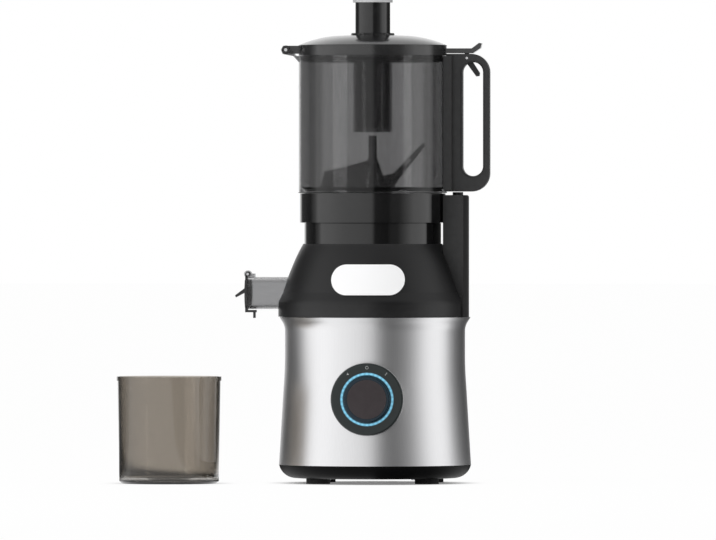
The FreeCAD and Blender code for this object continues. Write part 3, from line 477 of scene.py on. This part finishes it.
def make_ring_glow():
    group, given, result = new_group(
        "Ring glow",
        [("Glow colour", "Color", (0.2, 0.52, 0.72, 1)), ("Guide colour", "Color", (0.02, 0.06, 0.09, 1))],
        [("Colour", "Color")],
    )
    place = add_node(group, "ShaderNodeTexCoord")
    offset = add_node(group, "ShaderNodeVectorMath", operation="SUBTRACT")
    offset.inputs[1].default_value = RING_CENTRE
    join(group, place.outputs["Object"], offset.inputs[0])
    parts = add_node(group, "ShaderNodeSeparateXYZ")
    join(group, offset.outputs[0], parts.inputs[0])
    flat = add_node(group, "ShaderNodeCombineXYZ")
    join(group, parts.outputs["X"], flat.inputs["X"])
    join(group, parts.outputs["Z"], flat.inputs["Y"])
    far = add_node(group, "ShaderNodeVectorMath", operation="LENGTH")
    join(group, flat.outputs[0], far.inputs[0])
    off = math_node(group, "SUBTRACT", far.outputs["Value"], RING_MIDDLE)
    off = math_node(group, "ABSOLUTE", off, 0.0)
    width = add_node(group, "ShaderNodeMapRange", interpolation_type="SMOOTHSTEP")
    width.inputs["From Min"].default_value = RING_SPREAD * 1.6
    width.inputs["From Max"].default_value = RING_SPREAD * 0.4
    join(group, off, width.inputs["Value"])
    angle = math_node(group, "ARCTAN2", parts.outputs["Z"], parts.outputs["X"])
    wave = math_node(group, "COSINE", math_node(group, "MULTIPLY", angle, float(LAMPS_ROUND)), 0.0)
    lamps = math_node(group, "ADD", math_node(group, "MULTIPLY", wave, 0.14), 0.86)
    mix = add_node(group, "ShaderNodeMix", data_type="RGBA")
    join(group, math_node(group, "MULTIPLY", width.outputs[0], lamps), mix.inputs["Factor"])
    join(group, given["Guide colour"], mix.inputs["A"])
    join(group, given["Glow colour"], mix.inputs["B"])
    join(group, mix.outputs["Result"], result["Colour"])
    return group


RING_GLOW = make_ring_glow()


def light_guide(name):
    material, tree, shader = start_material(name)
    glow = place_group(tree, RING_GLOW, Glow_colour=(0.2, 0.55, 0.76, 1),
                       Guide_colour=(0.008, 0.03, 0.045, 1))
    skin = place_group(tree, MOULDED, Grain_scale=600, Roughness=0.35, Roughness_change=0.1)
    join(tree, glow.outputs["Colour"], shader.inputs["Base Color"])
    join(tree, glow.outputs["Colour"], shader.inputs["Emission Color"])
    join(tree, skin.outputs["Roughness"], shader.inputs["Roughness"])
    shader.inputs["Emission Strength"].default_value = 0.5
    return material


LIGHT_BLUE = light_guide("light_ring_blue")
print("light ring of", LAMPS_ROUND, "lamps")

# %% [markdown]
# Every piece of the working model is given its finish here. A list per finish makes it easy to see which
# pieces are moulded from the same plastic, and the last line says whether a piece was forgotten.

# %% Give out the finishes
FINISH_OF = {
    BLACK: ["top_deck", "skirt", "pulp_spout", "interlock_plunger", "board_carrier"],
    COLUMN_BLACK: ["column_cover"],
    HANDLE_GREY: ["handle", "lid_trigger"],
    PLINTH_BLACK: ["plinth"],
    RUBBER: ["rubber_feet", "deck_seal", "cord_gland", "lid_seal", "drip_plug"],
    SILVER: ["silver_shell"],
    BADGE_WHITE: ["badge_plate"],
    BEZEL_BLACK: ["bezel"],
    LIGHT_BLUE: ["light_ring"],
    KNOB_BLACK_AND_GLOW: ["control_knob"],
    KNOB_FACE: ["knob_cap"],
    SMOKE: ["jar", "feed_tube"],
    CUP_SMOKE: ["cup"],
    SPOUT_SMOKE: ["juice_spout"],
    BOWL_DARK: ["juicing_bowl"],
    LID_GREY: ["lid"],
    SWITCH: ["drip_cap", "knob_switch", "interlock_switch"],
    CAP_GREY: ["pusher_cap"],
    PUSHER_DARK: ["pusher", "auger", "strainer_frame"],
    STEEL: ["output_shaft", "cluster_axle", "lower_bearing", "upper_bearing", "output_bearings",
            "motor_pinion", "cap_hinge_pin", "lid_hinge_pin", "trigger_pin", "trigger_spring",
            "auger_insert", "base_screws", "strainer_screen"],
    IRON: ["stator_core", "rotor", "motor_can"],
    COPPER: ["stator_windings"],
    NYLON: ["gear_cluster", "output_gear", "auger_bush", "cooling_fan"],
    ALLOY: ["gearbox_floor", "gearbox_cover", "support_posts"],
    BOARD: ["control_board", "light_board"],
}
for finish, names in FINISH_OF.items():
    for name in names:
        mesh = NODES[name].data
        mesh.materials.clear()
        mesh.materials.append(finish)
bare = set(NODES) - {name for names in FINISH_OF.values() for name in names}
print(len(FINISH_OF), "finishes given; nodes without one:", sorted(bare))

# %% [markdown]
# Some trim is too fine for the working model. It is made here as meshes that ride on the body they belong
# to. Most of it is a round bead swept along a closed path: at each point of the path a small ring of
# points is laid across it, and neighbouring rings are joined by faces.

# %% Mesh helpers
def mesh_piece(name, points, faces, finish, body):
    mesh = bpy.data.meshes.new(name)
    mesh.from_pydata([tuple(point) for point in points], [], faces)
    mesh.polygons.foreach_set("use_smooth", [True] * len(mesh.polygons))
    mesh.materials.append(finish)
    piece = bpy.data.objects.new(name, mesh)
    bpy.context.scene.collection.objects.link(piece)
    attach(piece, body)
    return piece


def swept_loop(path, outwards, radius, sides=10):
    """Points and faces of a round bead along a closed path. Outwards holds each point's side direction."""
    points = []
    for index, centre in enumerate(path):
        ahead = (path[(index + 1) % len(path)] - path[index - 1]).normalized()
        side = outwards[index]
        over = ahead.cross(side).normalized()
        for step in range(sides):
            angle = 2 * math.pi * step / sides
            points.append(centre + (side * math.cos(angle) + over * math.sin(angle)) * radius)
    faces = []
    for index in range(len(path)):
        first = index * sides
        second = ((index + 1) % len(path)) * sides
        for step in range(sides):
            other = (step + 1) % sides
            faces.append((first + step, first + other, second + other, second + step))
    return points, faces


def circle_path(centre, radius, right, up, steps=144):
    outwards = [
        right * math.cos(2 * math.pi * step / steps) + up * math.sin(2 * math.pi * step / steps)
        for step in range(steps)
    ]
    return [centre + side * radius for side in outwards], outwards


RIGHT = Vector((1, 0, 0))
BACK = Vector((0, 1, 0))
UP = Vector((0, 0, 1))
print("mesh helpers ready")

# %% [markdown]
# The dial's bezel carries a thin bright trim and three plain marks: a nought, a one and an arrowhead.
# They stand 37 degrees apart, which is how far the knob turns to each side.

# %% Bezel trim and dial marks
bezel_low, bezel_high = (Vector(corner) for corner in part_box("bezel"))
DIAL_CENTRE = Vector((0, bezel_low.y, (bezel_low.z + bezel_high.z) / 2))
BEZEL_RADIUS = (bezel_high.x - bezel_low.x) / 2
MARK_RADIUS = 30.0 * MM
MARK_STEP = math.radians(37)
MARK_HEIGHT = 0.12 * MM
trim_centre = DIAL_CENTRE + BACK * 2.2 * MM
trim_path, trim_sides = circle_path(trim_centre, BEZEL_RADIUS, RIGHT, UP)
mesh_piece("bezel_trim", *swept_loop(trim_path, trim_sides, 0.4 * MM), STEEL, "base")


def dial_frame(turn):
    """The middle of a mark, its direction round the dial and its direction outwards."""
    outwards = UP * math.cos(turn) + RIGHT * math.sin(turn)
    along = RIGHT * math.cos(turn) - UP * math.sin(turn)
    return DIAL_CENTRE + outwards * MARK_RADIUS, along, outwards


def flat_mark(name, outline, turn):
    """A thin raised plate on the bezel from an outline of (along, outwards) corners in millimetres."""
    middle, along, outwards = dial_frame(turn)
    face = [middle + (along * across_mm + outwards * out_mm) * MM for across_mm, out_mm in outline]
    count = len(face)
    points = [point - BACK * MARK_HEIGHT for point in face] + [point + BACK * MARK_HEIGHT for point in face]
    sides = [(step, (step + 1) % count, (step + 1) % count + count, step + count) for step in range(count)]
    return mesh_piece(name, points, [tuple(range(count))] + sides, MARK_GREY, "base")


nought_middle, nought_along, nought_out = dial_frame(0)
nought_path, nought_sides = circle_path(nought_middle, 1.3 * MM, nought_along, nought_out, steps=32)
mesh_piece("dial_nought", *swept_loop(nought_path, nought_sides, 0.25 * MM, sides=8), MARK_GREY, "base")
ONE_OUTLINE = [(-0.3, -1.5), (0.3, -1.5), (0.3, 1.5), (-0.3, 1.5), (-0.8, 1.0), (-0.3, 1.0)]
ARROW_OUTLINE = [(-1.5, 0), (0.6, -1.2), (0.6, 1.2)]
flat_mark("dial_one", ONE_OUTLINE, MARK_STEP)
flat_mark("dial_arrow", ARROW_OUTLINE, -MARK_STEP)
print("bezel trim and three marks at", round(MARK_RADIUS / MM, 1), "mm")

# %% [markdown]
# The D handle has a soft bead round its finger gap on both faces. The path is a rectangle with
# round corners: each corner is a quarter turn, and the straight sides join the turns.

# %% Handle beads
GAP_LEFT = 85.8 * MM
GAP_RIGHT = 105.4 * MM
GAP_LOW = 291.6 * MM
GAP_HIGH = 399.6 * MM
GAP_CORNER = 9.5 * MM
BEAD_OUT = 1.1 * MM
GRIP_HALF = 10.5 * MM


def rounded_loop(left, right, low, high, corner, depth, grow, steps=8):
    path = []
    outwards = []
    corners = [(right - corner, high - corner, 0), (left + corner, high - corner, 90),
               (left + corner, low + corner, 180), (right - corner, low + corner, 270)]
    for middle_x, middle_z, first in corners:
        for step in range(steps + 1):
            angle = math.radians(first + 90 * step / steps)
            side = Vector((math.cos(angle), 0, math.sin(angle)))
            outwards.append(side)
            path.append(Vector((middle_x, depth, middle_z)) + side * (corner + grow))
    return path, outwards


for word, depth in (("front", -GRIP_HALF), ("back", GRIP_HALF)):
    bead_path, bead_sides = rounded_loop(GAP_LEFT, GAP_RIGHT, GAP_LOW, GAP_HIGH, GAP_CORNER, depth, BEAD_OUT)
    mesh_piece(f"handle_bead_{word}", *swept_loop(bead_path, bead_sides, 0.55 * MM), HANDLE_GREY, "jar")
print("two beads round the finger gap")

# %% [markdown]
# A dark seam shows where the jar meets the bowl, and a thin step where the lid meets the jar.

# %% Seams
SEAM_HEIGHT = 275.9 * MM
SEAM_RADIUS = 70.35 * MM
seam_path, seam_sides = circle_path(UP * SEAM_HEIGHT, SEAM_RADIUS, RIGHT, BACK)
mesh_piece("jar_seam", *swept_loop(seam_path, seam_sides, 0.3 * MM), RUBBER, "jar")
STEP_HEIGHT = 415.6 * MM
step_path, step_sides = circle_path(UP * STEP_HEIGHT, SEAM_RADIUS, RIGHT, BACK)
mesh_piece("lid_step", *swept_loop(step_path, step_sides, 0.3 * MM), LID_GREY, "lid")
print("jar seam and lid step")

# %% [markdown]
# The trigger's spring is a coil of wire round its pin. A helix of a few turns replaces the plain ring
# of the working model.

# %% Trigger spring
spring_low, spring_high = (Vector(corner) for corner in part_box("trigger_spring"))
SPRING_TURNS = 3
WIRE_RADIUS = 0.22 * MM
spring_middle = (spring_low + spring_high) / 2
COIL_RADIUS = (spring_high.x - spring_low.x) / 2 - WIRE_RADIUS
coil_height = spring_high.y - spring_low.y - 2 * WIRE_RADIUS
SPRING_STEPS = 72
wire = []
for step in range(SPRING_STEPS + 1):
    angle = 2 * math.pi * SPRING_TURNS * step / SPRING_STEPS
    depth = spring_low.y + WIRE_RADIUS + coil_height * step / SPRING_STEPS
    wire.append(Vector((spring_middle.x + COIL_RADIUS * math.cos(angle), depth,
                        spring_middle.z + COIL_RADIUS * math.sin(angle))))
spring_points = []
WIRE_SIDES = 8
for step, centre in enumerate(wire):
    side = (centre - Vector((spring_middle.x, centre.y, spring_middle.z))).normalized()
    for turn in range(WIRE_SIDES):
        angle = 2 * math.pi * turn / WIRE_SIDES
        spring_points.append(centre + (side * math.cos(angle) + BACK * math.sin(angle)) * WIRE_RADIUS)
spring_faces = []
for step in range(SPRING_STEPS):
    for turn in range(WIRE_SIDES):
        here = step * WIRE_SIDES
        there = here + WIRE_SIDES
        other = (turn + 1) % WIRE_SIDES
        spring_faces.append((here + turn, there + turn, there + other, here + other))
spring_faces.append(tuple(range(WIRE_SIDES)))
spring_faces.append(tuple(reversed(range(SPRING_STEPS * WIRE_SIDES, (SPRING_STEPS + 1) * WIRE_SIDES))))
coil = mesh_piece("trigger_coil", spring_points, spring_faces, STEEL, "jar")
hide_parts("trigger_spring")
print("coil of", SPRING_TURNS, "turns")

# %% [markdown]
# A round shiny thing shows the whole room as upright stripes. The room is invented: it was set
# until the stripes on the shell and the bowl looked like the photograph's. It is written as a list of
# directions, in degrees round from the camera towards the right, each with how bright the room is there:
# a wide softbox on the left, a narrower one on the right, dark flags beside the backdrop and a dark
# camera stand in front. One group turns a direction, or a place on the floor, into that brightness.

# %% Group: studio room
ROOM = [
    (-180, 1.0), (-156, 1.0), (-147, 0.1), (-112, 0.06), (-100, 0.5), (-93, 1.2), (-70, 1.3), (-45, 1.1),
    (-12, 0.95), (2, 0.85), (7, 0.12), (28, 0.07), (34, 0.2), (46, 0.22), (58, 0.65), (72, 1.2), (102, 1.25),
    (114, 0.12), (145, 0.02), (162, 0.1), (180, 1.0),
]
ROOM_PEAK = 1.3


def make_room_stripes():
    group, given, result = new_group(
        "Room stripes",
        [("Direction", "Vector", (0, 0, 0))],
        [("Level", "Float")],
    )
    parts = add_node(group, "ShaderNodeSeparateXYZ")
    join(group, given["Direction"], parts.inputs[0])
    front = math_node(group, "MULTIPLY", parts.outputs["Y"], -1.0)
    turn = math_node(group, "ARCTAN2", parts.outputs["X"], front)
    share = math_node(group, "ADD", math_node(group, "DIVIDE", turn, 2 * math.pi), 0.5)
    ramp = add_node(group, "ShaderNodeValToRGB")
    fill_ramp(ramp, [((degrees + 180) / 360, level / ROOM_PEAK) for degrees, level in ROOM])
    join(group, share, ramp.inputs["Fac"])
    join(group, math_node(group, "MULTIPLY", ramp.outputs["Color"], ROOM_PEAK), result["Level"])
    return group


ROOM_STRIPES = make_room_stripes()


print("room with", len(ROOM), "directions")

# %% [markdown]
# The set is a plain pale floor. The camera sees it as a white card, except close round the juicer
# and the cup, where its own matt surface shows and takes their shadows; that change alone also paints a grey
# shadow halo round them. Shiny surfaces see the room's stripes painted across it as a glow.

# %% Floor
CARD_SHARE = 0.975
SHADOW_HALO_SHARE = 0.2
SHADOW_REACH = 40.0 * MM
JUICER_FOOTPRINT = ((2.2 * MM, 0.0, 0.0), 70.0 * MM)
CUP_FOOTPRINT = ((-192.2 * MM, -24.0 * MM, 0.0), 30.0 * MM)
FLOOR_SIZE = 60


def far_from(tree, place, centre, radius):
    """The distance of a floor point from a round footprint."""
    offset = add_node(tree, "ShaderNodeVectorMath", operation="SUBTRACT")
    offset.inputs[1].default_value = centre
    join(tree, place.outputs["Object"], offset.inputs[0])
    length = add_node(tree, "ShaderNodeVectorMath", operation="LENGTH")
    join(tree, offset.outputs[0], length.inputs[0])
    return math_node(tree, "SUBTRACT", length.outputs["Value"], radius)


def make_floor():
    bpy.ops.mesh.primitive_plane_add(size=FLOOR_SIZE)
    floor = bpy.context.object
    floor.name = "studio_floor"
    material, tree, shader = start_material("pale_floor")
    shader.inputs["Base Color"].default_value = (0.9, 0.9, 0.9, 1)
    shader.inputs["Roughness"].default_value = 0.6
    place = add_node(tree, "ShaderNodeTexCoord")
    from_juicer = far_from(tree, place, *JUICER_FOOTPRINT)
    from_cup = far_from(tree, place, *CUP_FOOTPRINT)
    # Painted shadow: close to the footprints the white card gives way to the matt floor, which leaves a grey
    # halo there even where no real shadow falls.
    shadow_halo = add_node(tree, "ShaderNodeMapRange", interpolation_type="SMOOTHSTEP")
    shadow_halo.inputs["From Max"].default_value = SHADOW_REACH
    shadow_halo.inputs["To Min"].default_value = SHADOW_HALO_SHARE
    shadow_halo.inputs["To Max"].default_value = CARD_SHARE
    join(tree, math_node(tree, "MINIMUM", from_juicer, from_cup), shadow_halo.inputs["Value"])
    path = add_node(tree, "ShaderNodeLightPath")
    seen = math_node(tree, "MAXIMUM", path.outputs["Is Camera Ray"], path.outputs["Is Transmission Ray"])
    card = math_node(tree, "MULTIPLY", seen, shadow_halo.outputs[0])
    # Painted light: for shiny surfaces the floor glows with the room's stripes, set by where a point lies
    # round the origin, and the shell's lip mirrors them.
    stripes = place_group(tree, ROOM_STRIPES)
    join(tree, place.outputs["Object"], stripes.inputs["Direction"])
    glow = add_node(tree, "ShaderNodeEmission")
    level = mix_values(tree, path.outputs["Is Glossy Ray"], 1.0, stripes.outputs["Level"])
    join(tree, level, glow.inputs["Strength"])
    mix = add_node(tree, "ShaderNodeMixShader")
    join(tree, math_node(tree, "MAXIMUM", card, path.outputs["Is Glossy Ray"]), mix.inputs["Fac"])
    join(tree, shader.outputs["BSDF"], mix.inputs[1])
    join(tree, glow.outputs["Emission"], mix.inputs[2])
    join(tree, mix.outputs[0], tree.nodes["Material Output"].inputs["Surface"])
    floor.data.materials.append(material)


make_floor()
print("floor, seen as a card with a share of", CARD_SHARE)

# %% [markdown]
# The same room surrounds the set. Shiny surfaces see it, the camera sees its white backdrop, and matt
# surfaces get an even share of its light.

# %% Room light
OVERHEAD_LEVEL = 0.6
AIR_LEVEL = 0.5


def make_world():
    world = bpy.data.worlds.new("studio_room")
    world.use_nodes = True
    tree = world.node_tree
    air = tree.nodes["Background"]
    air.inputs["Color"].default_value = (1, 1, 1, 1)
    place = add_node(tree, "ShaderNodeTexCoord")
    stripes = place_group(tree, ROOM_STRIPES)
    join(tree, place.outputs["Generated"], stripes.inputs["Direction"])
    parts = add_node(tree, "ShaderNodeSeparateXYZ")
    join(tree, place.outputs["Generated"], parts.inputs[0])
    above = add_node(tree, "ShaderNodeMapRange")
    above.inputs["From Min"].default_value = 0.35
    above.inputs["From Max"].default_value = 0.85
    join(tree, parts.outputs["Z"], above.inputs["Value"])
    room = mix_values(tree, above.outputs[0], stripes.outputs["Level"], OVERHEAD_LEVEL)
    path = add_node(tree, "ShaderNodeLightPath")
    shiny = mix_values(tree, path.outputs["Is Glossy Ray"], AIR_LEVEL, room)
    through = math_node(tree, "MAXIMUM", path.outputs["Is Camera Ray"], path.outputs["Is Transmission Ray"])
    join(tree, mix_values(tree, through, shiny, 1.0), air.inputs["Strength"])
    bpy.context.scene.world = world


make_world()
print("room light: overhead", OVERHEAD_LEVEL, "and for matt surfaces", AIR_LEVEL)

# %% [markdown]
# The lamps only light matt surfaces, because the room above already gives the reflections.
# A wide one stands at the left, a weaker one at the right and one hangs overhead.

# %% Lamps
LAMP_AIM = Vector((0, 0, 0.22))


def softbox(name, turn, high, distance, width, height, power):
    """A softbox that faces the juicer. Turn is measured from the camera's side towards +X."""
    data = bpy.data.lights.new(name, "AREA")
    data.shape = "RECTANGLE"
    data.size = width
    data.size_y = height
    data.energy = power
    lamp = bpy.data.objects.new(name, data)
    angle = math.radians(turn)
    lamp.location = (math.sin(angle) * distance, -math.cos(angle) * distance, high)
    lamp.rotation_euler = (LAMP_AIM - lamp.location).to_track_quat("-Z", "Y").to_euler()
    lamp.visible_glossy = False
    bpy.context.scene.collection.objects.link(lamp)
    return lamp


softbox("left_softbox", -50, 0.6, 2.0, 0.9, 1.8, 22)
softbox("right_softbox", 60, 0.5, 2.0, 0.5, 1.6, 10)
softbox("top_softbox", 0, 2.2, 0.6, 1.4, 1.4, 8)
print("three softboxes")
